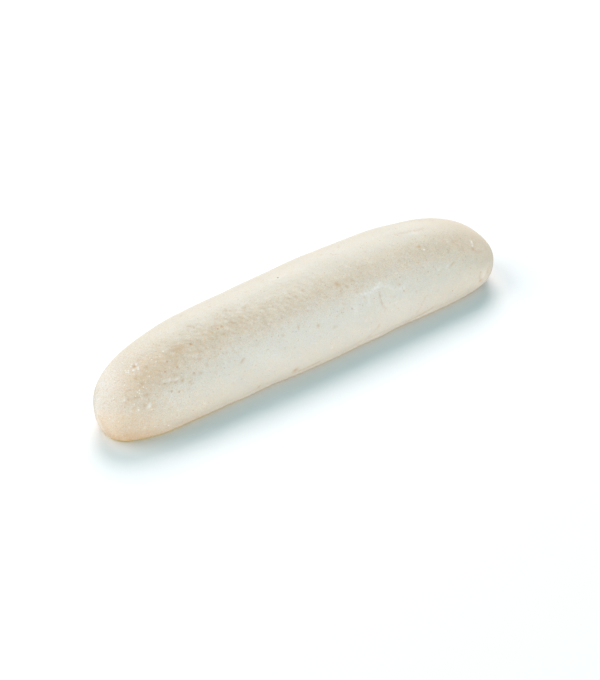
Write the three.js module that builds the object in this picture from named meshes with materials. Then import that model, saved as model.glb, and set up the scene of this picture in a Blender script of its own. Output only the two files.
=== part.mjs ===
// A part-baked panini roll: one long, pale bread roll with round ends and a flat base, slightly bent.
// Millimetres, +Z up, X along the roll. The origin is on the base, under the middle of the roll's box.
import * as THREE from "three";
import { mergeVertices } from "three/addons/utils/BufferGeometryUtils.js";

// Main sizes of the roll.
const ROLL_LENGTH = 270;
const ROLL_WIDTH = 65;
const ROLL_HEIGHT = 42;
const WAIST_HEIGHT = 16; // level where the roll is widest, and of the tips of its ends
const SIDEWAYS_BOW = 5; // the middle lies this far to +Y of a straight line through the tips

// Cross-section: a rounded oval whose underside has settled flat on the baking tray.
const SECTION_POWER = 2.2; // exponent of the superellipse, where 2 is an ellipse
const UNDERSIDE_DEPTH = 25; // from the waist down to the bottom of the oval before it settles
const SETTLE_RADIUS = 2.5; // roundness of the edge where the sides run into the flat base

// How the front (-Y), the back and the crown close towards each end. A larger fullness keeps the full size
// closer to the tip, and a larger bluntness squares the tip off.
const LEFT_END = {
  front: { fullness: 3, bluntness: 2.4 },
  back: { fullness: 4.6, bluntness: 1.75 },
  crown: { fullness: 4.8, bluntness: 2 },
};
const RIGHT_END = {
  front: { fullness: 12, bluntness: 2.1 },
  back: { fullness: 4.8, bluntness: 2 },
  crown: { fullness: 5, bluntness: 2.1 },
};
const UNDERSIDE = { fullness: 13, bluntness: 2 };

// Slow unevenness of the dough: wavelength along the roll, whole waves round it, height and phase.
const WAVES = [
  { wavelength: 150, rounds: 0, lift: 0.6, phase: 0.73 },
  { wavelength: 71, rounds: 2, lift: 0.2, phase: 2.1 },
  { wavelength: 46, rounds: 3, lift: 0.15, phase: 4.4 },
  { wavelength: 29, rounds: 4, lift: 0.1, phase: 1.3 },
];

// Marks from proving and baking. turn is in degrees round the section: 0 is the front of the waist
// and 90 is the crown. along and round are half sizes, and a hollow has a negative lift.
const MARKS = [
  { x: 113, turn: -4, along: 3.2, round: 5, lift: -1.5 }, // dent low on the right end
  { x: 119, turn: 2, along: 3, round: 5, lift: 0.8 }, // lip of that dent
  { x: 42, turn: 22, along: 2.6, round: 8, lift: -0.6 }, // upright crease in the front
  { x: 37, turn: 43, along: 10, round: 3, lift: 0.5 }, // fold above the crease
  { x: 54, turn: -20, along: 26, round: 3, lift: 0.6 }, // torn skin along the base
  { x: -20, turn: -22, along: 3.5, round: 3.5, lift: -1 }, // notch in the base edge
  { x: -45, turn: -22, along: 3.5, round: 3.5, lift: -0.9 }, // second notch
  { x: -83, turn: 76, along: 4, round: 4, lift: -0.5 }, // shallow pan on the crown
  { x: -109, turn: 90, along: 3, round: 3, lift: -0.7 }, // burst blister near the left end
  { x: 84, turn: 95, along: 7, round: 3, lift: -0.5 }, // wrinkle along the right shoulder
];
const SKIN_PER_DEGREE = 0.5; // mean length of skin for a degree of turn
const TIP_REACH = 12; // nearer than this to the roll's core the relief fades out, so the tips stay closed

// Facets of the skin.
const FACETS_ROUND = 56;
const FACETS_ALONG = 100;

const CRUST_COLOUR = 0xe2dac8;
const CRUST_ROUGHNESS = 0.85;

// Share of the full size left at s, which runs from -1 at the left tip to 1 at the right tip.
function closing(s, curve) {
  const left = Math.max(0, 1 - Math.pow(Math.abs(s), curve.fullness));
  return Math.pow(left, 1 / curve.bluntness);
}

function signedPower(value, power) {
  return Math.sign(value) * Math.pow(Math.abs(value), power);
}

// Height of the skin over the plain form, from the waves and the marks.
function skinLift(x, turn) {
  let lift = 0;
  for (const wave of WAVES) {
    const angle = (2 * Math.PI * x) / wave.wavelength + wave.rounds * turn + wave.phase;
    lift += wave.lift * Math.sin(angle);
  }
  for (const mark of MARKS) {
    const along = (x - mark.x) / mark.along;
    const round = ((THREE.MathUtils.radToDeg(turn) - mark.turn) * SKIN_PER_DEGREE) / mark.round;
    lift += mark.lift * Math.exp(-along * along - round * round);
  }
  return lift;
}

// The dough stops at the tray: what would hang below z = 0 is flat, with a rounded edge.
function settled(z) {
  if (z < -SETTLE_RADIUS) return 0;
  if (z > SETTLE_RADIUS) return z;
  return (z + SETTLE_RADIUS) ** 2 / (4 * SETTLE_RADIUS);
}

// A point of the skin, at s along the roll and turn round its section.
function skinPoint(s, turn) {
  const end = s < 0 ? LEFT_END : RIGHT_END;
  const sideways = -signedPower(Math.cos(turn), 2 / SECTION_POWER);
  const upwards = signedPower(Math.sin(turn), 2 / SECTION_POWER);
  const halfWidth = (ROLL_WIDTH / 2) * closing(s, sideways < 0 ? end.front : end.back);
  const rise = (ROLL_HEIGHT - WAIST_HEIGHT) * closing(s, end.crown);
  const depth = UNDERSIDE_DEPTH * closing(s, UNDERSIDE);

  const x = (s * ROLL_LENGTH) / 2;
  const y = halfWidth * sideways;
  const z = (upwards > 0 ? rise : depth) * upwards;
  const swell = 1 + skinLift(x, turn) / Math.max(Math.hypot(y, z), TIP_REACH);
  const bow = SIDEWAYS_BOW * (1 - s * s);
  return new THREE.Vector3(x, bow + y * swell, settled(WAIST_HEIGHT + z * swell));
}

// A unit sphere with its poles at the tips, each of its points carried to the skin.
function rollGeometry() {
  const sphere = new THREE.SphereGeometry(1, FACETS_ROUND, FACETS_ALONG);
  sphere.rotateZ(-Math.PI / 2);
  sphere.deleteAttribute("normal");
  sphere.deleteAttribute("uv");
  const geometry = mergeVertices(sphere);

  const position = geometry.attributes.position;
  const point = new THREE.Vector3();
  for (let i = 0; i < position.count; i++) {
    point.fromBufferAttribute(position, i);
    const skin = skinPoint(point.x, Math.atan2(point.z, -point.y));
    position.setXYZ(i, skin.x, skin.y, skin.z);
  }

  geometry.computeBoundingBox();
  const box = geometry.boundingBox;
  geometry.translate(-(box.min.x + box.max.x) / 2, -(box.min.y + box.max.y) / 2, -box.min.z);
  geometry.computeVertexNormals();
  return geometry;
}

const crust = new THREE.MeshStandardMaterial({
  color: CRUST_COLOUR,
  roughness: CRUST_ROUGHNESS,
  metalness: 0,
});
const roll = new THREE.Mesh(rollGeometry(), crust);
roll.name = "bread_roll";

const part = new THREE.Group();
part.add(roll);

export default part;
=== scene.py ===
import math
import bpy
import numpy as np
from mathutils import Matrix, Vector


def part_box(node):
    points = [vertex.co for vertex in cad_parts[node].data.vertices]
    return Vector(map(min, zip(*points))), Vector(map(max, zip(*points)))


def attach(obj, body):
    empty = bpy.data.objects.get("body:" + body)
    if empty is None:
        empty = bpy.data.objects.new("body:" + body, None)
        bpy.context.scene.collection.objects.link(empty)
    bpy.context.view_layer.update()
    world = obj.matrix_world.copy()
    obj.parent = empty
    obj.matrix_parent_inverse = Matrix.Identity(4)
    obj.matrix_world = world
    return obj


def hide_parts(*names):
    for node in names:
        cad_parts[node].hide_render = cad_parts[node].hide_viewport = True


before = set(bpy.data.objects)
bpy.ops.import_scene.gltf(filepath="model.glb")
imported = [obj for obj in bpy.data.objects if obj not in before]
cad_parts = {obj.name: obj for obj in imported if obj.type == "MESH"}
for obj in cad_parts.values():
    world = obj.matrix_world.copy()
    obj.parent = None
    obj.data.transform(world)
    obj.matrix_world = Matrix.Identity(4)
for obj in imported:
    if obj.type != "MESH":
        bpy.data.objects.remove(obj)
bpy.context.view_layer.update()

# The roll's form in mm: the sizes of the solid that this skin stands for, with leaner ends, a bend of its
# own and a crisper base edge.
rollForm = {
    "node": "bread_roll",
    "length": 270.0,
    "width": 65.0,
    "height": 42.0,
    "waist": 16.0,  # level of the widest place and of the tips
    "bow": 5.0,  # the middle lies this far behind a line through the tips
    "sway": (-68.0, 34.0, 1.3),  # a bend of its own: place, half length, how far back
    "sectionPower": 2.2,  # superellipse exponent
    "underDepth": 25.0,  # waist down to the bottom of the oval, before it settles
    "settle": 0.7,  # roundness of the base edge
    "left": {"front": (3.0, 2.4), "back": (4.2, 1.75), "crown": (4.55, 2.0)},  # fullness, bluntness
    "right": {"front": (12.0, 2.1), "back": (4.8, 1.9), "crown": (5.0, 1.84)},
    "under": (13.0, 2.0),
    # waves of the dough: length along the roll, whole waves round it, height, phase
    "waves": [(150, 0, 0.6, 0.73), (71, 2, 0.2, 2.1), (46, 3, 0.15, 4.4), (29, 4, 0.1, 1.3)],
    "tipReach": 12.0,  # closer to the core than this the waves fade out
    "ringsAlong": 460,
    "columnsRound": 210,
    "endShare": 0.25,  # share of the half length where the rings bunch up as round a ball
    "baseThinning": 0.2,  # density of columns under the base against the rest
    "baseEdge": (-42.0, -138.0),  # turns between which the underside is flat
    "baseBlend": 4.0,  # degrees over which the density changes there
    "turnSamples": 3601,  # steps of the density's integral
}
lowCorner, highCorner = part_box(rollForm["node"])
mm = (highCorner.x - lowCorner.x) / rollForm["length"]  # in metres


# Rings lie along the roll as on a straight bar with ball ends: even steps in the middle, and near a
# tip steps of an angle, s = 1 - e + e sin(angle).
def spreadAlong():
    share = rollForm["endShare"]
    straight = 1 - share
    path = np.linspace(-1, 1, rollForm["ringsAlong"] + 1) * (straight + share * math.pi / 2)
    beyond = np.clip((np.abs(path) - straight) / share, 0, math.pi / 2)
    return np.sign(path) * (np.minimum(np.abs(path), straight) + share * np.sin(beyond))


# Turns round the section in radians, from the integral of a density that drops under the base.
def spreadRound():
    form = rollForm
    turn = np.radians(np.linspace(-180, 180, form["turnSamples"]))
    middle, half = np.radians(np.mean(form["baseEdge"])), np.radians(np.ptp(form["baseEdge"])) / 2
    under = 1 / (1 + np.exp((np.abs(turn - middle) - half) / np.radians(form["baseBlend"])))
    density = 1 - (1 - form["baseThinning"]) * under
    filled = np.concatenate([[0], np.cumsum((density[1:] + density[:-1]) / 2)])
    steps = np.arange(form["columnsRound"]) / form["columnsRound"]
    return np.interp(steps * filled[-1], filled, turn)


# Share of the full size left at s: (1 - |s|^fullness)^(1/bluntness), with its own pair at each end.
def closing(s, left, right):
    fullness, bluntness = (np.where(s < 0, left[k], right[k]) for k in (0, 1))
    return np.clip(1 - np.abs(s) ** fullness, 0, 1) ** (1 / bluntness)


# The size's power with the value's own sign.
def signedPower(value, power):
    return np.sign(value) * np.abs(value) ** power


# The skin in mm at s (-1 to 1 along the roll) and turn (0 at the front of the waist, 90 degrees at the
# crown): a superellipse of the local half width, rise and depth, swollen by the waves, carried
# sideways by the bow and the sway, with all that would hang below the tray pressed flat.
def plainSkin(s, turn):
    form = rollForm
    side = -signedPower(np.cos(turn), 2 / form["sectionPower"])
    up = signedPower(np.sin(turn), 2 / form["sectionPower"])
    ends = {k: closing(s, form["left"][k], form["right"][k]) for k in ("front", "back", "crown")}
    x = s * form["length"] / 2 + 0 * turn  # as many values as turns
    y = form["width"] / 2 * np.where(side < 0, ends["front"], ends["back"]) * side
    rise = (form["height"] - form["waist"]) * ends["crown"]
    depth = form["underDepth"] * closing(s, form["under"], form["under"])
    z = np.where(up > 0, rise, depth) * up
    lift = 0
    for wavelength, rounds, height, phase in form["waves"]:
        lift = lift + height * np.sin(2 * np.pi * x / wavelength + rounds * turn + phase)
    swell = 1 + lift / np.maximum(np.hypot(y, z), form["tipReach"])
    z = form["waist"] + z * swell
    r = form["settle"]
    z = np.where(z < -r, 0, np.where(z < r, (z + r) ** 2 / (4 * r), z))
    at, half, far = form["sway"]
    aside = form["bow"] * (1 - s**2) + far * np.exp(-(((x - at) / half) ** 2))
    return np.stack([x, aside + y * swell, z], -1)


sGrid, turnGrid = np.meshgrid(spreadAlong(), spreadRound(), indexing="ij")
plain = plainSkin(sGrid, turnGrid)
boxMiddle = (lowCorner + highCorner) / 2 / mm
shiftY = boxMiddle.y - (plain[..., 1].min() + plain[..., 1].max()) / 2
plain[..., 1] += shiftY
print("form: %d x %d grid, %.1f mm sideways shift to the solid's box" % (*plain.shape[:2], shiftY))


# Unit normals of a grid that closes round its second index, from central differences.
def gridNormals(points):
    along = np.gradient(points, axis=0)
    around = np.roll(points, -1, 1) - np.roll(points, 1, 1)
    normal = np.cross(along, around)
    normal[0], normal[-1] = (-1, 0, 0), (1, 0, 0)
    return normal / np.maximum(np.linalg.norm(normal, axis=-1, keepdims=True), 1e-9)


normals = gridNormals(plain)

# Marks of proving and baking that show one by one. x in mm and turn in degrees give the place, along and
# round the half sizes, lean the angle in the skin, lift the height. brown and flour are shares of colour.
skinMarks = [
    dict(x=11, turn=127, along=12, round=12, lift=-0.75),  # slow hollows in the back
    dict(x=-76, turn=130, along=12, round=12, lift=-0.55),
    dict(x=115.5, turn=2, along=1.6, round=3.0, lean=-20, lift=0.5, flour=0.25),  # flap low on the right end
    dict(x=113, turn=-8, along=1.0, round=1.0, lift=-0.3, brown=0.56),
    dict(x=-83, turn=76, along=3.4, round=2.6, lift=-0.17, brown=0.34),  # shallow brown pan
    dict(x=-109.6, turn=88, along=1.1, round=1.1, lift=-0.5, brown=0.65),  # burst blister
    dict(x=-110.6, turn=83, along=1.4, round=0.9, lift=0.35, flour=0.3),
    dict(x=-124, turn=52, along=1.0, round=1.0, lift=0.6, flour=0.4),  # round blister on the left end
    dict(x=-122.4, turn=50, along=0.8, round=1.0, lift=-0.17, brown=0.39),
    dict(x=-116, turn=28, along=1.1, round=1.0, lift=-0.2, brown=0.39),  # small open ring
    dict(x=-114, turn=24, along=1.4, round=1.0, lean=40, lift=0.3, flour=0.75),  # flour smear
    dict(x=-111.5, turn=21, along=1.8, round=1.2, lift=-0.07, brown=0.22),
    dict(x=-122, turn=31, along=0.9, round=0.8, lift=-0.12, brown=0.39),
    dict(x=-105, turn=77, along=1.1, round=0.9, lift=-0.15, brown=0.34),
    dict(x=-105.6, turn=91, along=1.0, round=0.9, lift=-0.1, brown=0.25),
    dict(x=-104, turn=97, along=1.0, round=0.8, lift=-0.1, brown=0.25),
    dict(x=-109.4, turn=68, along=1.0, round=0.8, lift=-0.08, brown=0.25),
    dict(x=-120.7, turn=63, along=1.0, round=0.9, lift=-0.08, brown=0.22),
    dict(x=-118.9, turn=46, along=1.6, round=1.0, lift=-0.12, brown=0.35),
    dict(x=-113.5, turn=72, along=0.9, round=1.3, lift=-0.12, brown=0.4),
    dict(x=-112.5, turn=60, along=1.3, round=1.0, lift=-0.12, brown=0.4),
    dict(x=-95, turn=48, along=1.1, round=0.8, lift=-0.1, brown=0.3),
    dict(x=-88, turn=29, along=1.5, round=0.6, lift=-0.1, brown=0.3),
    dict(x=-75, turn=42, along=1.0, round=1.2, lift=-0.1, brown=0.3),
    dict(x=-84, turn=38, along=1.2, round=0.7, lean=-15, lift=-0.1, brown=0.3),
    dict(x=-103, turn=9, along=1.0, round=1.0, lift=-0.06, brown=0.2),
    dict(x=-105, turn=18, along=1.2, round=0.9, lift=-0.06, brown=0.2),
    dict(x=7, turn=20, along=1.6, round=0.9, lift=-0.08, brown=0.22),
    dict(x=94.4, turn=34, along=2.4, round=0.6, lean=25, lift=-0.1, brown=0.35),
    dict(x=91, turn=34, along=2.2, round=0.6, lean=25, lift=0.1, flour=0.35),
    dict(x=-113, turn=42, along=1.3, round=1.0, lift=-0.15, brown=0.34),
    dict(x=-92, turn=38, along=1.0, round=0.8, lift=-0.15, brown=0.45),
    dict(x=-80.5, turn=36, along=1.4, round=1.0, lift=-0.1, brown=0.34),
    dict(x=-77, turn=52, along=1.3, round=1.0, lift=-0.1, brown=0.39),
    dict(x=-54, turn=28, along=1.9, round=0.7, lean=30, lift=-0.15, brown=0.45),
    dict(x=-88, turn=32, along=1.6, round=0.6, lean=10, lift=-0.12, brown=0.34),
    dict(x=35, turn=99, along=2.2, round=0.7, lean=-30, lift=-0.12, brown=0.28),
    dict(x=30, turn=107, along=1.6, round=0.6, lean=10, lift=-0.1, brown=0.22),
    dict(x=21, turn=65, along=1.2, round=1.6, lean=10, lift=-0.15, brown=0.5),
    dict(x=25, turn=58, along=0.9, round=1.2, lift=-0.12, brown=0.39),
    dict(x=30, turn=62, along=1.3, round=0.9, lift=-0.1, brown=0.39),
    dict(x=-15, turn=38, along=0.6, round=1.6, lean=-10, lift=-0.1, brown=0.39),
    dict(x=-31, turn=57, along=0.6, round=1.8, lift=-0.1, brown=0.34),
    dict(x=-3, turn=30, along=0.9, round=0.9, lift=-0.12, brown=0.5),
    dict(x=82, turn=70, along=0.9, round=1.2, lean=-40, lift=-0.17, brown=0.56),
    dict(x=113.4, turn=47, along=1.2, round=1.0, lift=-0.1, brown=0.42),
    dict(x=-20.7, turn=-16, along=1.7, round=2.0, lift=-0.6, brown=0.5),  # notches in the base edge
    dict(x=-45, turn=-18.5, along=1.1, round=1.1, lift=-0.3, brown=0.35),
    dict(x=31.5, turn=39, along=0.6, round=1.3, lift=-0.07, brown=0.34),
    dict(x=37, turn=-4, along=0.8, round=1.8, lean=-20, lift=-0.1, brown=0.3),
    dict(x=46, turn=-16, along=17, round=6.5, lift=0, flour=0.13),  # pale torn skin
]

# Small dots with a sharp edge: x in mm, turn in degrees and radius in mm.
skinDots = {
    "crumb": [(-111.6, 84.3, 0.9), (-109.3, 81.2, 0.8), (-108.6, 83.5, 0.7), (-108.1, 88.6, 0.7),
              (-109.6, 92, 0.6), (-111, 90.4, 0.6), (-114.5, 91.2, 0.6), (-113.5, 88.8, 0.6),
              (-114.2, 86.6, 0.7), (-115, 88.6, 0.6), (-116, 96.6, 0.5), (-118, 105, 0.5),
              (-112, 105, 0.5), (-122.3, 91, 0.6), (-115.4, 53.6, 0.6), (-112.8, 54.6, 0.5),
              (-118.6, 48, 0.5), (-116.1, 49.4, 0.5), (-116.8, 52.4, 0.5), (-124.3, 51.5, 0.8),
              (-107, 64, 0.5), (-100, 85, 0.5), (-100, 81.4, 0.5), (-99, 76, 0.5), (-91.5, 83, 0.8),
              (-120, 74.6, 0.5), (-128, 69, 0.6), (-125, 98, 0.5), (-120, 24, 0.7), (-104, -17, 0.7),
              (83, 64, 0.8)],
    "spot": [(14, 69, 0.6), (20, 56, 0.6), (21, 32, 0.7), (14, 33, 0.6), (37, 32, 0.5), (58, 43, 0.6),
             (57, 26, 0.7), (77, 36, 0.6), (74, 51, 0.5), (56, 35, 0.5), (91, -2, 0.5), (82, 39, 0.5),
             (88, 69, 0.5), (101, 74, 0.5), (-76, 74, 0.9), (-91, 56, 0.8), (-98.4, 58.3, 0.7),
             (-94, 68.7, 0.7), (-100.8, 63, 0.6), (-96, 26, 0.9), (-100, 31, 0.9), (-99, -5, 0.5),
             (-91, 14, 0.5), (-89, -7, 0.5), (-54, 76, 1.1), (-57, 76, 0.8), (-84, 40, 0.7),
             (-63, 52, 0.6), (-67, 90, 0.6)],
    # the pinhole is a dark dot only: painted shade of the hole's inside
    "pinholeShade": [(-3.2, 102.4, 0.7)],
}

# Creases, folds and wrinkles: each follows a few places in the skin, given by x and turn, and has a half
# width in mm.
skinCreases = [
    dict(path=[(112.5, 6), (112, 0), (112.5, -6)], width=0.7, lift=-0.3, brown=0.2),  # edges of the flap
    dict(path=[(119, 6), (119, -2)], width=0.6, lift=-0.15, brown=0.18),
    # upright crease
    dict(path=[(42, 38), (41, 30), (41, 20), (42.5, 11)], width=0.8, lift=-0.12, brown=0.2),
    # fold
    dict(path=[(29, 42), (33, 41), (38, 40), (42, 43), (44, 46)], width=1.4, lift=0.15, flour=0.52),
    dict(path=[(43, 44), (47, 40), (50, 34)], width=1.0, lift=0.15, flour=0.4),
    dict(path=[(53, 31), (58, 30)], width=0.9, lift=0.1, flour=0.35),
    dict(path=[(27, 43), (24, 34), (22.5, 25)], width=1.3, lift=0.06, flour=0.25),
    dict(path=[(34, 37), (33, 28)], width=1.0, lift=0.05, flour=0.25),
    # torn skin at the base
    dict(path=[(21, -16), (28, -17), (33, -18), (38, -18.5), (44, -20)], width=0.55, lift=-0.09, brown=0.13),
    dict(path=[(25, -21), (33, -22.5), (41, -23)], width=0.6, lift=0.12, flour=0.35),
    dict(path=[(60, -23), (66, -21), (72, -18.5), (78, -16)], width=0.8, lift=-0.12, brown=0.26),
    dict(path=[(64, -26), (72, -24), (80, -22)], width=0.7, lift=0.12, flour=0.35),
    dict(path=[(-18, -21), (-12, -21.5), (-4, -20)], width=0.7, lift=-0.1, brown=0.3),
    dict(path=[(24, -26), (33, -27.5), (42, -27)], width=0.55, lift=-0.07, brown=0.08),
    dict(path=[(36, -5), (33, -10), (30, -14)], width=0.7, lift=-0.05, brown=0.13),
    dict(path=[(65, -11), (68, -2), (71, 7)], width=0.7, lift=-0.05, brown=0.13),
    # white scratch, right end
    dict(path=[(116, 57.5), (115, 53), (114, 49.5)], width=0.55, lift=0.15, flour=0.8),
    dict(path=[(112.5, 44), (115, 39), (117.5, 38)], width=1.0, lift=-0.06, brown=0.16),
    # wavy crack
    dict(path=[(-102, 48), (-99.5, 45), (-98, 47), (-96, 43), (-94, 43)], width=0.6, lift=0.3, flour=0.4),
    dict(path=[(-102, 45), (-99, 42), (-95, 40)], width=0.8, lift=-0.15, brown=0.21),
    dict(path=[(-45, 92), (-41, 88)], width=0.7, lift=-0.14, brown=0.25),  # short folds over the crown
    dict(path=[(-49, 84), (-47, 80)], width=0.7, lift=-0.14, brown=0.3),
    dict(path=[(-69, 95), (-66, 91)], width=0.7, lift=-0.12, brown=0.22),
    dict(path=[(-60, 82), (-55, 79)], width=0.7, lift=-0.14, brown=0.25),
    dict(path=[(-62, 93), (-56, 90)], width=0.7, lift=0.1, flour=0.35),
    dict(path=[(-64, 84), (-61, 75)], width=0.7, lift=-0.1, brown=0.2),
    dict(path=[(-36, 95), (-32, 89)], width=0.7, lift=0.1, flour=0.3),
    dict(path=[(-37, 81), (-35, 86), (-32, 88)], width=0.8, lift=-0.1, brown=0.21),
    dict(path=[(77, 96), (81, 94), (84, 92)], width=0.9, lift=-0.12, brown=0.14),
    dict(path=[(86, 93), (91, 91), (95, 92)], width=0.9, lift=-0.1, brown=0.14),
    dict(path=[(84, 89), (88, 87)], width=1.1, lift=0.2, flour=0.35),
    dict(path=[(-8, 96), (-6, 92), (-5, 87)], width=0.9, lift=-0.07, brown=0.08),
    dict(path=[(-8, 104), (-3, 101), (2, 102)], width=0.9, lift=0.12, flour=0.3),
]

# Pits and blisters strewn over the skin: how many, with half sizes and lifts in mm. A chance is what a
# place has anywhere, what the middle of the baked band adds, and what the left tip adds.
strewn = {
    "seed": 7,
    "pits": {"count": 200, "size": (0.5, 0.9), "lift": (-0.08, -0.02), "brown": (0.06, 0.28),
             "chance": (0.25, 0.75, 0.6)},
    "blisters": {"count": 130, "size": (0.5, 0.75), "lift": (0.05, 0.14), "flour": (0.1, 0.5),
                 "chance": (0.12, 0.25, 0.9)},
    "along": (-133, 133),
    "turns": (-25, 205),
    "band": (70.0, 34.0),  # turn of its middle, and half width
    "tips": (135.0, 28.0),  # how far out they are, and how far in they count
    "rightTip": 0.4,  # what the right tip adds against the left one
    "longer": (0.9, 1.5),  # length for each width
    "lean": (-40, 40),
}
markFade = 40.0  # square mm off its plane over which a mark fades, so that the far side stays plain


# Place, along and round directions of a mark in the plain skin, from a small step either way.
def skinFrame(x, turn, step=0.004):
    s, t = np.array([2 * x / rollForm["length"]]), np.array([math.radians(turn)])
    along = (plainSkin(s + step, t) - plainSkin(s - step, t))[0]
    around = (plainSkin(s, t + step) - plainSkin(s, t - step))[0]
    along = along / np.linalg.norm(along)
    around = around - along * (around @ along)
    return plainSkin(s, t)[0] + (0, shiftY, 0), along, around / np.linalg.norm(around)


# A mark's shape is exp(-r^2), with r its distance in half sizes, measured in the skin.
def markShape(mark):
    at, along, around = skinFrame(mark["x"], mark["turn"])
    offset = plain - at
    lean = math.radians(mark.get("lean", 0))
    u, v = offset @ along, offset @ around
    a = (u * math.cos(lean) + v * math.sin(lean)) / mark["along"]
    b = (v * math.cos(lean) - u * math.sin(lean)) / mark["round"]
    offPlane = np.sum(offset**2, -1) - u**2 - v**2
    return np.exp(-(a**2) - b**2 - offPlane / markFade)


# A crease's shape is exp(-d^2), with d the distance to its line in half widths.
def creaseShape(crease):
    points = [skinFrame(*place)[0] for place in crease["path"]]
    nearest = np.full(plain.shape[:2], np.inf)
    for start, end in zip(points[:-1], points[1:]):
        run = end - start
        share = np.clip(((plain - start) @ run) / (run @ run), 0, 1)
        nearest = np.minimum(nearest, np.linalg.norm(plain - start - share[..., None] * run, axis=-1))
    return np.exp(-((nearest / crease["width"]) ** 2))


# Random marks, drawn until enough of them have passed the chance of their place. The band and the tips add
# to it by exp(-d^2), with d the distance in half widths.
def strewMarks(kind, draw):
    rule, found = strewn[kind], []
    anywhere, inBand, atTip = rule["chance"]
    while len(found) < rule["count"]:
        x, turn = draw.uniform(*strewn["along"]), draw.uniform(*strewn["turns"])
        band = math.exp(-(((turn - strewn["band"][0]) / strewn["band"][1]) ** 2))
        tip = math.exp(-(((abs(x) - strewn["tips"][0]) / strewn["tips"][1]) ** 2))
        tip *= 1.0 if x < 0 else strewn["rightTip"]
        if draw.uniform() > anywhere + inBand * band + atTip * tip:
            continue
        size = draw.uniform(*rule["size"])
        mark = dict(x=x, turn=turn, along=size * draw.uniform(*strewn["longer"]), round=size)
        mark["lean"] = draw.uniform(*strewn["lean"])
        mark["lift"] = draw.uniform(*rule["lift"])
        for tint in ("brown", "flour"):
            if tint in rule:
                mark[tint] = draw.uniform(*rule[tint])
        found.append(mark)
    return found


# Smooth noise of unit spread in mm space: a sum of sine waves of random direction and phase, about size
# mm long within the given spread, drawn out by stretch along a line that leans lean degrees from the
# roll's length.
def doughNoise(points, size, draw, stretch=1.0, lean=0.0, count=40, spread=(0.7, 1.4)):
    heading = draw.normal(size=(count, 3))
    heading *= draw.uniform(*spread, (count, 1)) / np.linalg.norm(heading, axis=1, keepdims=True) / size
    line = np.array([math.cos(math.radians(lean)), math.sin(math.radians(lean)), 0])
    heading -= np.outer(heading @ line, line) * (1 - 1 / stretch)
    phase = draw.uniform(0, 2 * np.pi, count)
    total = np.zeros(points.shape[:2])
    for k in range(count):
        total += np.sin(2 * np.pi * points @ heading[k] + phase[k])
    return total * math.sqrt(2 / count)


# Smooth step from 0 at the span's start to 1 at its end: share^2 (3 - 2 share).
def easeIn(value, span):
    share = np.clip((value - span[0]) / (span[1] - span[0]), 0, 1)
    return share * share * (3 - 2 * share)


# A share that falls no lower than least: least + (1 - least) share.
def noLess(least, share):
    return least + (1 - least) * share


# Unevenness all over the skin: size and height in mm. Streaks are where the dough stretched over the
# crown. Pairs for them are where they start and where they are full, in mm along the roll.
skinNoise = {
    "patch": 1.9, "patchSpread": 0.5, "patchLimits": (0.15, 1.8),  # breaks up the creases
    "lumps": (14.0, 0.02),
    "grain": (2.6, 0.012),
    "streaks": (2.6, 0.027), "streakStretch": 2.3, "streakLean": -40.0,
    "streakTurn": 84.0, "streakHalf": 20.0, "streakLeft": (-125, -95), "streakRight": (60, -10),
    "streakPlain": 0.25,  # share of the streaks elsewhere
    "streakReach": 3.0,  # the mask of the streaks holds this many spreads either way
    "edge": (2.6, 0.17), "edgeHeight": (6, 1),  # ragged base edge
    "baseHeight": (0.1, 3.0),  # below this the relief no longer lifts the skin off the table
}
draw = np.random.default_rng(strewn["seed"])
pits, blisters = strewMarks("pits", draw), strewMarks("blisters", draw)
turnDeg = np.degrees(turnGrid)
x, z = plain[..., 0], plain[..., 2]
patch = 1 + skinNoise["patchSpread"] * doughNoise(plain, skinNoise["patch"], draw)
patch = np.clip(patch, *skinNoise["patchLimits"])
relief = {kind: np.zeros(plain.shape[:2]) for kind in ("lift", "brown", "flour")}


# Heights of marks add up, and of their colours the strongest counts.
def stampMark(mark, shape):
    relief["lift"] += mark["lift"] * shape
    for tint in ("brown", "flour"):
        relief[tint] = np.maximum(relief[tint], mark.get(tint, 0) * shape)


for mark in skinMarks + pits + blisters:
    stampMark(mark, markShape(mark))
for crease in skinCreases:
    stampMark(crease, creaseShape(crease) * patch)
print("marks: %d by hand, %d strewn" % (len(skinMarks) + len(skinCreases), len(pits) + len(blisters)))

streaked = np.exp(-(((turnDeg - skinNoise["streakTurn"]) / skinNoise["streakHalf"]) ** 2))
streaked *= easeIn(x, skinNoise["streakLeft"]) * easeIn(x, skinNoise["streakRight"])
drawnOut = skinNoise["streakStretch"], skinNoise["streakLean"]
streak = doughNoise(plain, skinNoise["streaks"][0], draw, *drawnOut)
streak *= noLess(skinNoise["streakPlain"], streaked)
lift = relief["lift"] + skinNoise["streaks"][1] * streak
for kind in ("lumps", "grain"):
    lift += skinNoise[kind][1] * doughNoise(plain, skinNoise[kind][0], draw)
ragged = doughNoise(plain, skinNoise["edge"][0], draw)
lift += skinNoise["edge"][1] * easeIn(z, skinNoise["edgeHeight"]) * ragged
lift[0], lift[-1] = lift[0].mean(), lift[-1].mean()
moved = normals * lift[..., None]
moved[..., 2] *= easeIn(z, skinNoise["baseHeight"])  # the base stays flat on the table
skin = (plain + moved) * mm
print("relief: %.2f to %.2f mm" % (lift.min(), lift.max()))
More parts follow.
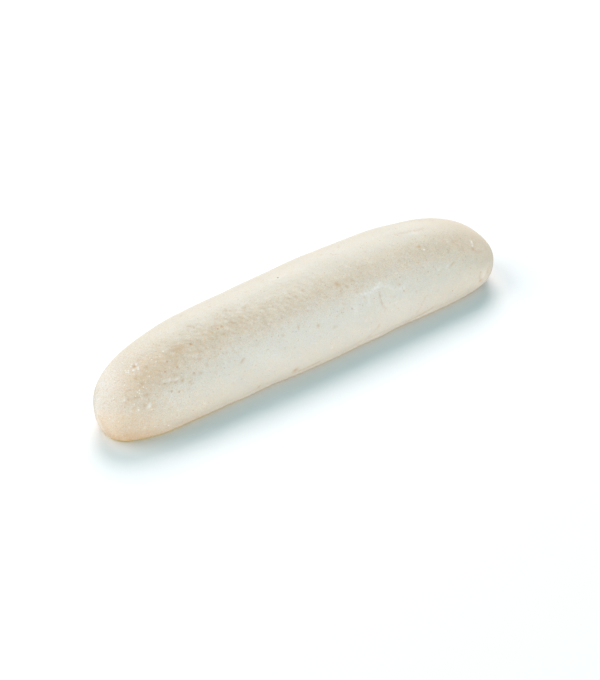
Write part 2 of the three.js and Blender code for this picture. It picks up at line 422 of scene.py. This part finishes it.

# Where the skin has its colours, each as a share from 0 to 1. A tan band runs along the front of the
# crown, flour lies on the front below it, and a dull grey cream lies low on the front and up the back,
# partly the dough's own tone and partly painted shade on the lower sides. The base edge and both ends have
# taken a golden tone; the very base keeps less of the cream and the gold, which paints light on the base
# edge. A pair is where a tone starts and where it is full, in mm for x and z and in degrees for a turn.
skinTones = {
    "band": {"share": 0.37, "turn": 62.8, "twist": -0.039,  # twist: degrees for each mm along
             "low": 25.2, "high": 20.9,  # half widths below and above its middle
             "left": (-144, -66), "right": (146, 87)},
    "leftwards": {"x": (11, -150), "browner": 0.16, "wider": 8.5},  # what the band gains to the left
    "sinking": {"share": 28.5, "x": (-76, -150)},  # degrees that it sinks there
    "dusted": {"turn": (80.6, 53.4), "low": (-33, 13), "lowLeft": 28.0,  # lowLeft: degrees higher there
               "left": (-137, -127), "right": (132, 44.5)},
    # flour on the upper side of the left tip, partly a painted highlight where the lamps leave the tip dim
    "tipFlourAndLight": {"share": 0.76, "x": (-110.5, -125), "turn": (32, 66)},
    # dull grey cream low on the sides: partly the dough's own tone, partly painted shade
    "creamAndShade": {"share": 0.39, "turn": (49, 2.5), "x": (-137, -127)},
    # painted light: the very base keeps less cream, so the base edge stays light in its contact shade
    "creamBase": {"share": 0.58, "z": (7.5, 1)},  # what it loses at the very base
    "creamRight": {"share": 0.3, "x": (96, 122), "turn": (0, 14)},  # and at the right end
    "creamBack": {"share": 0.24, "turn": (98, 125), "x": (-125, -95)},
    "goldenLeft": {"share": 0.62, "x": (-49, -126), "z": (16.3, -9.7)},
    # painted light: the very base keeps less gold too, for the same lighter base edge
    "goldenBase": {"share": 0.2, "z": (7.5, 1)},  # what that loses at the very base
    "goldenHigh": {"share": 0.29, "x": (-100, -124.5), "turn": (150, 22)},
    "goldenRight": {"share": 0.15, "x": (88, 120), "z": (15.5, 25)},
    "goldenPatch": {"share": 0.35, "at": (-104, 64.6), "half": (19.3, 29.5)},  # x and turn
    "beside": {"turn": (-80, -50)},  # keeps the back's tones off the underside
    "rightTip": {"x": (127, 135), "oneTurn": 8},  # has one tone all round, that of this turn
    "rim": {"height": 1.05, "plain": 0.4, "x": (-30, -100)},  # golden line at the very base
    "grainy": {"x": (-60, -110)},  # the stipple is strong here and in the band
    "specked": {"plain": 0.08, "x": (-70, -112)},  # white specks gather at the left end
}


# A tone's share, eased in over the span that it gives for each of the values.
def toneShare(name, **values):
    share = skinTones[name].get("share", 1)
    for key, value in values.items():
        share = share * easeIn(value, skinTones[name][key])
    return share


sideTurn = np.degrees(np.arcsin(np.sin(turnGrid)))  # the back counted like the front, up from its waist
backTurn = np.where(turnDeg < -90, turnDeg + 360, turnDeg)  # runs on round the back
beside, tip = toneShare("beside", turn=sideTurn), toneShare("rightTip", x=x)
sideTurn += (skinTones["rightTip"]["oneTurn"] - sideTurn) * tip

band, leftwards = skinTones["band"], toneShare("leftwards", x=x)
offBand = turnDeg - band["turn"] - band["twist"] * x + toneShare("sinking", x=x)
offBand /= np.where(offBand < 0, band["low"], band["high"]) + skinTones["leftwards"]["wider"] * leftwards
tan = (band["share"] + skinTones["leftwards"]["browner"] * leftwards) * np.exp(-(offBand**2))
tan *= easeIn(x, band["left"]) * easeIn(x, band["right"])

lowTurn = turnDeg - skinTones["dusted"]["lowLeft"] * leftwards
dusted = toneShare("dusted", turn=turnDeg, low=lowTurn, left=x, right=x)
# partly painted light: flour on the left tip brightens it where the lamps leave it dim
dusted += toneShare("tipFlourAndLight", x=x, turn=sideTurn)

# dull grey cream low on both sides, partly painted shade there
creamAndShade = toneShare("creamAndShade", turn=sideTurn, x=x)
# painted light: less of it at the very base, so the base edge stays light in its contact shade
creamAndShade *= 1 - toneShare("creamBase", z=z)
creamAndShade *= 1 - toneShare("creamRight", x=x, turn=sideTurn)
creamAndShade += toneShare("creamBack", turn=backTurn, x=x) * beside * (1 - tip)

golden = toneShare("goldenLeft", x=x, z=z)
# painted light: less gold at the very base, for the lighter base edge
golden *= 1 - toneShare("goldenBase", z=z)
golden += toneShare("goldenHigh", x=x, turn=backTurn) * beside
golden += toneShare("goldenRight", x=x, z=z)
patchAt, patchHalf = skinTones["goldenPatch"]["at"], skinTones["goldenPatch"]["half"]
offPatch, overPatch = (x - patchAt[0]) / patchHalf[0], (turnDeg - patchAt[1]) / patchHalf[1]
golden += skinTones["goldenPatch"]["share"] * np.exp(-(offPatch**2) - overPatch**2)

rim = np.exp(-((z / skinTones["rim"]["height"]) ** 2))
rim *= noLess(skinTones["rim"]["plain"], toneShare("rim", x=x))
grainy = np.maximum(toneShare("grainy", x=x), tan / band["share"])
specked = noLess(skinTones["specked"]["plain"], toneShare("specked", x=x))


# Rings become quads, with one vertex at each tip and a fan of triangles round it.
def rollMesh(name, grid):
    rings, columns = grid.shape[0] - 2, grid.shape[1]
    vertices = np.concatenate([grid[1:-1].reshape(-1, 3), grid[:1, 0], grid[-1:, 0]])
    column = np.arange(columns)
    after = (column + 1) % columns
    low = np.arange(rings - 1)[:, None] * columns
    high = low + columns
    quads = np.stack([low + column, low + after, high + after, high + column], -1).reshape(-1, 4)
    lastRing, leftTip, rightTip = (rings - 1) * columns, rings * columns, rings * columns + 1
    leftFan = np.stack([after, column, 0 * column + leftTip], -1)
    rightFan = np.stack([lastRing + column, lastRing + after, 0 * column + rightTip], -1)
    mesh = bpy.data.meshes.new(name)
    mesh.from_pydata(vertices.tolist(), [], quads.tolist() + leftFan.tolist() + rightFan.tolist())
    mesh.polygons.foreach_set("use_smooth", np.ones(len(mesh.polygons), bool))
    mesh.update()
    return mesh


# A value for each vertex, in the order of rollMesh.
def addAttribute(mesh, name, grid):
    values = np.concatenate([grid[1:-1].ravel(), grid[:1, 0], grid[-1:, 0]]).astype(np.float32)
    mesh.attributes.new(name, "FLOAT", "POINT").data.foreach_set("value", values)


mesh = rollMesh("roll_skin", skin)
streakMask = (streak + skinNoise["streakReach"]) / (2 * skinNoise["streakReach"])
skinMasks = {"tan": tan, "dusted": dusted, "creamAndShade": creamAndShade, "golden": golden, "rim": rim,
             "brown": relief["brown"], "flour": relief["flour"],
             "specked": specked, "grainy": grainy, "streak": streakMask}
for name, grid in skinMasks.items():
    addAttribute(mesh, name, np.clip(grid, 0, 1))
rollPiece = bpy.data.objects.new("roll_skin", mesh)
bpy.context.scene.collection.objects.link(rollPiece)
print("mesh: %d triangles" % sum(len(p.vertices) - 2 for p in mesh.polygons))


# Linear colour of an sRGB hex value, by the curve of the sRGB standard.
def linear(hexColour):
    parts = [int(hexColour[i:i + 2], 16) / 255 for i in (1, 3, 5)]
    return (*(p / 12.92 if p <= 0.04045 else ((p + 0.055) / 1.055) ** 2.4 for p in parts), 1.0)


# Adds a node, sets its sockets or properties and links its inputs.
def addNode(tree, kind, settings=None, links=None):
    node = tree.nodes.new(kind)
    for key, value in (settings or {}).items():
        if isinstance(key, int) or key in node.inputs:
            node.inputs[key].default_value = value
        else:
            setattr(node, key, value)
    for key, source in (links or {}).items():
        tree.links.new(source, node.inputs[key])
    return node


# Part-baked wheat crust: a dry, matt skin of set dough, pale under a dusting of flour, tan where the oven
# reached it first, with a fine brown stipple, freckles and white specks. Sizes are in mm. Real flour is
# too fine to show, so the grain, the pores and the stipple are as coarse as they need to be.
crustLook = {
    "dough": "#E6D9CD",
    "flour": "#F0E4DD",
    "tan": "#9B7B44",
    # dull grey cream: partly the dough's tone, partly painted shade low on the sides
    "creamAndShade": "#AAA395",
    "golden": "#C89050",
    "rim": "#DEC27E",
    "toast": "#E6A666",
    # painted shade of the fine pores, spread in a noise all over
    "poreShade": "#A09078",
    "warm": "#ECD4AD",
    "freckle": "#BC8856",
    "mark": "#BE8A50",
    "spot": "#BC7040",
    # painted shade: the dark inside of the pinhole
    "pinholeShade": "#5A2410",
    "roughness": 0.85,
    "ior": 1.4,
    "turned": (0.5, 0.7, 0.3),  # radians, so that no pattern lies square to the roll
    "noises": {"clouds": (10.0, 3, 0.8), "stipple": (0.8, 2, 0.6), "pores": (0.42, 1, 0.5),
               "mottle": (5.5, 2, 0.8), "grain": (0.75, 3, 0.5)},  # size, detail, roughness
    "cloudFade": (0.2, 0.8), "cloudSpread": 0.1,  # uneven baking
    "streakShare": 0.065,  # how much browner the hollows between the streaks are
    "shiftPlain": 0.3, "shiftFull": 0.3,  # share of both off the tan, and the tan where they are whole
    "shiftFlour": 0.3,  # how much of them the flour takes
    "toastFade": (0.5, 0.75), "toastShare": (0.17, 0.46),  # shares in the plain skin and where it is grainy
    "paleFade": (0.5, 0.25), "paleShare": (0.12, 0.26),
    "poreFade": (0.5, 0.8), "poreShare": (0.28, 0.54),  # fine shade all over
    "mottleFade": (0.35, 0.65), "mottleShare": 0.17,  # warmer blotches, hardly darker
    "dots": {"freckles": (1.7, 0.5), "specks": (1.9, 0.42)},  # spacing, radius
    "freckleChance": (0.07, 0.45), "freckleFull": 0.4,  # off the tan and in it, and where that is full
    "speckChance": (0.0, 0.3),
    "dotCore": 0.4, "placedCore": 0.5,  # share of the radius inside which a dot is whole
    "freckleShare": 0.4, "speckShare": 0.7, "spotShare": 0.4, "crumbShare": 0.75,
    "grainHeight": 0.03, "pitDepth": 0.015, "speckHeight": 0.06,
}


# The crust's colours lie over each other by the masks in the mesh and by patterns in object coordinates.
def breadCrust():
    look = crustLook
    material = bpy.data.materials.new("part_baked_crust")
    material.use_nodes = True
    tree = material.node_tree
    tree.nodes.clear()
    place = addNode(tree, "ShaderNodeTexCoord").outputs["Object"]
    value = {}  # every value that the colours are mixed with, by name
    for name in skinMasks:
        value[name] = addNode(tree, "ShaderNodeAttribute", {"attribute_name": name}).outputs["Fac"]

    # object coordinates counted in steps of each pattern's size
    steps = {}
    for name, (size, *_) in {**look["noises"], **look["dots"]}.items():
        settings = {"vector_type": "TEXTURE", "Rotation": look["turned"], "Scale": (size * mm,) * 3}
        steps[name] = addNode(tree, "ShaderNodeMapping", settings, {"Vector": place}).outputs["Vector"]
    for name, (_, detail, rough) in look["noises"].items():
        settings = {"Scale": 1.0, "Detail": detail, "Roughness": rough}
        value[name] = addNode(tree, "ShaderNodeTexNoise", settings, {"Vector": steps[name]}).outputs["Fac"]

    # round dots: the skin cuts balls that lie a spacing apart, and each has a lot drawn for it
    ballSpan = {}
    for name, (spacing, radius) in look["dots"].items():
        cells = addNode(tree, "ShaderNodeTexVoronoi", {"Scale": 1.0}, {"Vector": steps[name]})
        lot = addNode(tree, "ShaderNodeSeparateColor", None, {"Color": cells.outputs["Color"]})
        value[name + "Away"], value[name + "Lot"] = cells.outputs["Distance"], lot.outputs["Red"]
        ballSpan[name] = (radius / spacing, look["dotCore"] * radius / spacing)

    # dots at their own places: a small ball round each
    for kind, dots in skinDots.items():
        for x, turn, radius in dots:
            at = tuple(skinFrame(x, turn)[0] * mm)
            away = addNode(tree, "ShaderNodeVectorMath", {"operation": "DISTANCE", 1: at}, {0: place})
            settings = {"From Min": radius * mm, "From Max": look["placedCore"] * radius * mm}
            ball = addNode(tree, "ShaderNodeMapRange", settings, {"Value": away.outputs["Value"]})
            links = {1: ball.outputs["Result"]}
            if kind in value:
                links[0] = value[kind]
            joined = addNode(tree, "ShaderNodeMath", {"operation": "MAXIMUM", 0: 0.0}, links)
            value[kind] = joined.outputs["Value"]

    # values carried from one span to another; clouds and streaks shift the tan by as much up as down
    sway = skinNoise["streakReach"] * look["streakShare"]
    for name, source, span, (start, full) in (
        ("cloud", "clouds", look["cloudFade"], (-look["cloudSpread"], look["cloudSpread"])),
        ("hollow", "streak", (0, 1), (sway, -sway)),
        ("reach", "tan", (0, look["shiftFull"]), (look["shiftPlain"], 1)),
        ("toast", "stipple", look["toastFade"], (0, 1)),
        ("toastStrength", "grainy", (0, 1), look["toastShare"]),
        ("pale", "stipple", look["paleFade"], (0, 1)),
        ("paleStrength", "grainy", (0, 1), look["paleShare"]),
        ("poreShade", "pores", look["poreFade"], (0, 1)),
        ("poreStrength", "grainy", (0, 1), look["poreShare"]),
        ("warm", "mottle", look["mottleFade"], (0, look["mottleShare"])),
        ("freckleBall", "frecklesAway", ballSpan["freckles"], (0, 1)),
        ("freckleChance", "tan", (0, look["freckleFull"]), look["freckleChance"]),
        ("speckBall", "specksAway", ballSpan["specks"], (0, 1)),
        ("speckChance", "specked", (0, 1), look["speckChance"]),
    ):
        settings = {"From Min": span[0], "From Max": span[1], "To Min": start, "To Max": full}
        carried = addNode(tree, "ShaderNodeMapRange", settings, {"Value": value[source]})
        value[name] = carried.outputs["Result"]

    # values worked out from two terms, each a number or an earlier value by its name
    for name, operation, *terms in (
        ("shift", "ADD", "cloud", "hollow"),
        ("tanShift", "MULTIPLY", "shift", "reach"),
        ("tanShare", "ADD", "tan", "tanShift"),
        ("flourShift", "MULTIPLY", "shift", look["shiftFlour"]),
        ("flourShare", "SUBTRACT", "dusted", "flourShift"),
        ("toastShare", "MULTIPLY", "toast", "toastStrength"),
        ("paleShare", "MULTIPLY", "pale", "paleStrength"),
        ("poreShare", "MULTIPLY", "poreShade", "poreStrength"),
        ("freckleKept", "LESS_THAN", "frecklesLot", "freckleChance"),
        ("freckle", "MULTIPLY", "freckleBall", "freckleKept"),
        ("freckleShare", "MULTIPLY", "freckle", look["freckleShare"]),
        ("speckKept", "LESS_THAN", "specksLot", "speckChance"),
        ("speck", "MULTIPLY", "speckBall", "speckKept"),
        ("speckShare", "MULTIPLY", "speck", look["speckShare"]),
        ("spotShare", "MULTIPLY", "spot", look["spotShare"]),
        ("crumbShare", "MULTIPLY", "crumb", look["crumbShare"]),
        ("floury", "MAXIMUM", "flour", "crumbShare"),
        ("grainHeight", "MULTIPLY", "grain", look["grainHeight"]),
        ("pitDepth", "MULTIPLY", "freckle", look["pitDepth"]),
        ("pitted", "SUBTRACT", "grainHeight", "pitDepth"),
        ("bits", "MAXIMUM", "speck", "crumb"),
        ("bitHeight", "MULTIPLY", "bits", look["speckHeight"]),
        ("height", "ADD", "pitted", "bitHeight"),
    ):
        numbers = {k: term for k, term in enumerate(terms) if not isinstance(term, str)}
        links = {k: value[term] for k, term in enumerate(terms) if isinstance(term, str)}
        settings = {"operation": operation, **numbers}
        value[name] = addNode(tree, "ShaderNodeMath", settings, links).outputs["Value"]

    # layers of colour from the dough up, each with the share that covers what is below
    mixLow, mixHigh, mixOut = 6, 7, 2  # colour sockets of a Mix node
    settings = {"data_type": "RGBA", mixLow: linear(look["dough"]), mixHigh: linear(look["flour"])}
    colour = addNode(tree, "ShaderNodeMix", settings, {0: value["flourShare"]}).outputs[mixOut]
    for layer, share in (
        ("creamAndShade", "creamAndShade"), ("golden", "golden"), ("tan", "tanShare"), ("warm", "warm"),
        ("flour", "paleShare"), ("toast", "toastShare"), ("poreShade", "poreShare"),
        ("freckle", "freckleShare"), ("mark", "brown"), ("spot", "spotShare"),
        ("pinholeShade", "pinholeShade"), ("rim", "rim"), ("flour", "speckShare"), ("flour", "floury"),
    ):
        settings = {"data_type": "RGBA", mixHigh: linear(look[layer])}
        links = {0: value[share], mixLow: colour}
        colour = addNode(tree, "ShaderNodeMix", settings, links).outputs[mixOut]

    bump = addNode(tree, "ShaderNodeBump", {"Strength": 1.0, "Distance": mm}, {"Height": value["height"]})
    settings = {"Roughness": look["roughness"], "IOR": look["ior"]}
    links = {"Base Color": colour, "Normal": bump.outputs["Normal"]}
    shader = addNode(tree, "ShaderNodeBsdfPrincipled", settings, links)
    addNode(tree, "ShaderNodeOutputMaterial", None, {"Surface": shader.outputs["BSDF"]})
    return material


rollPiece.data.materials.append(breadCrust())
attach(rollPiece, "root")
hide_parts(rollForm["node"])
print("crust: %d masks, %d dots at their own places" % (len(skinMasks), sum(map(len, skinDots.values()))))

# Camera of the photograph: where it stands round the roll, in degrees and mm, and the pixel that a point
# over the middle of the base falls on.
photo = {
    "width": 600, "height": 680,
    "azimuth": -37.4, "elevation": 37.0, "distance": 1400.0,
    "point": (0.0, 0.0, 20.0), "pointPixel": (296.6, 317.7), "pixelsPerMm": 1.771,
    "sensor": 36.0,
}


# Unit vector to a place that is azimuth degrees round from the front and elevation degrees up.
def towards(azimuth, elevation):
    turn, rise = math.radians(azimuth), math.radians(elevation)
    return Vector((math.sin(turn) * math.cos(rise), -math.cos(turn) * math.cos(rise), math.sin(rise)))


# The camera stands its distance back from the point and aims beside it, by as much as the point's pixel is
# off the middle of the picture. The lens makes a mm at the point as many pixels as the photograph has.
def photoCamera():
    back, right = towards(photo["azimuth"], photo["elevation"]), towards(photo["azimuth"] + 90, 0)
    up = back.cross(right)
    point = Vector(photo["point"]) + Vector((0, shiftY, 0))
    aside = (photo["width"] / 2 - photo["pointPixel"][0]) / photo["pixelsPerMm"]
    below = (photo["height"] / 2 - photo["pointPixel"][1]) / photo["pixelsPerMm"]
    place, aim = point + back * photo["distance"], point + right * aside - up * below
    camera = bpy.data.objects.new("camera", bpy.data.cameras.new("camera"))
    camera.data.sensor_width = photo["sensor"]
    camera.data.lens = photo["pixelsPerMm"] * photo["distance"] * photo["sensor"] / photo["height"]
    camera.location = place * mm
    camera.rotation_euler = (aim - place).to_track_quat("-Z", "Y").to_euler()
    bpy.context.scene.collection.objects.link(camera)
    bpy.context.scene.camera = camera


photoCamera()

# White table top under the roll and plain studio light, in metres and watts: a softbox behind, one at the
# left, low ones in front and at the right, and a pale cool room.
studio = {
    "floorSize": 12.0, "floor": "#FFF8F7", "floorRoughness": 0.9, "floorSpecular": 0.1,
    "room": (0.49, 1.005, 1.13), "roomStrength": 0.455,
}
softboxes = {
    "key": {"azimuth": 143.0, "elevation": 47.5, "distance": 6.0, "size": 3.94, "power": 277.0,
            "colour": (1.0, 0.865, 0.84)},
    "left": {"azimuth": 232.0, "elevation": 45.0, "distance": 3.2, "size": 2.4, "power": 45.0,
             "colour": (1.0, 0.91, 0.88)},
    "front": {"azimuth": -37.0, "elevation": 1.3, "distance": 3.8, "size": 0.15, "power": 76.0,
              "colour": (1.0, 0.99, 0.98)},
    "right": {"azimuth": 60.0, "elevation": 2.5, "distance": 3.2, "size": 0.24, "power": 21.0,
              "colour": (1.0, 0.68, 0.5)},
}


# A round area light at its distance and heading, facing the middle of the roll's base.
def softbox(name, box):
    heading = towards(box["azimuth"], box["elevation"])
    light = bpy.data.objects.new(name + "_softbox", bpy.data.lights.new(name + "_softbox", "AREA"))
    light.data.shape = "DISK"
    light.data.size = box["size"]
    light.data.energy = box["power"]
    light.data.color = box["colour"]
    light.location = heading * box["distance"]
    light.rotation_euler = (-heading).to_track_quat("-Z", "Y").to_euler()
    bpy.context.scene.collection.objects.link(light)


# Matt white laminate, hardly any gloss, so that only the shadow marks the ground.
def tableTop():
    half = studio["floorSize"] / 2
    corners = [(-half, -half, 0), (half, -half, 0), (half, half, 0), (-half, half, 0)]
    mesh = bpy.data.meshes.new("table_top")
    mesh.from_pydata(corners, [], [(0, 1, 2, 3)])
    top = bpy.data.objects.new("table_top", mesh)
    material = bpy.data.materials.new("matt_white_laminate")
    material.use_nodes = True
    shader = material.node_tree.nodes["Principled BSDF"]
    shader.inputs["Base Color"].default_value = linear(studio["floor"])
    shader.inputs["Roughness"].default_value = studio["floorRoughness"]
    shader.inputs["Specular IOR Level"].default_value = studio["floorSpecular"]
    mesh.materials.append(material)
    bpy.context.scene.collection.objects.link(top)


tableTop()
for name, box in softboxes.items():
    softbox(name, box)
world = bpy.data.worlds.new("studio")
world.use_nodes = True
room = world.node_tree.nodes["Background"]
room.inputs["Color"].default_value = (*studio["room"], 1)
room.inputs["Strength"].default_value = studio["roomStrength"]
bpy.context.scene.world = world
bpy.context.scene.view_settings.view_transform = "Standard"
print("studio: table top, %d softboxes and a pale room" % len(softboxes))
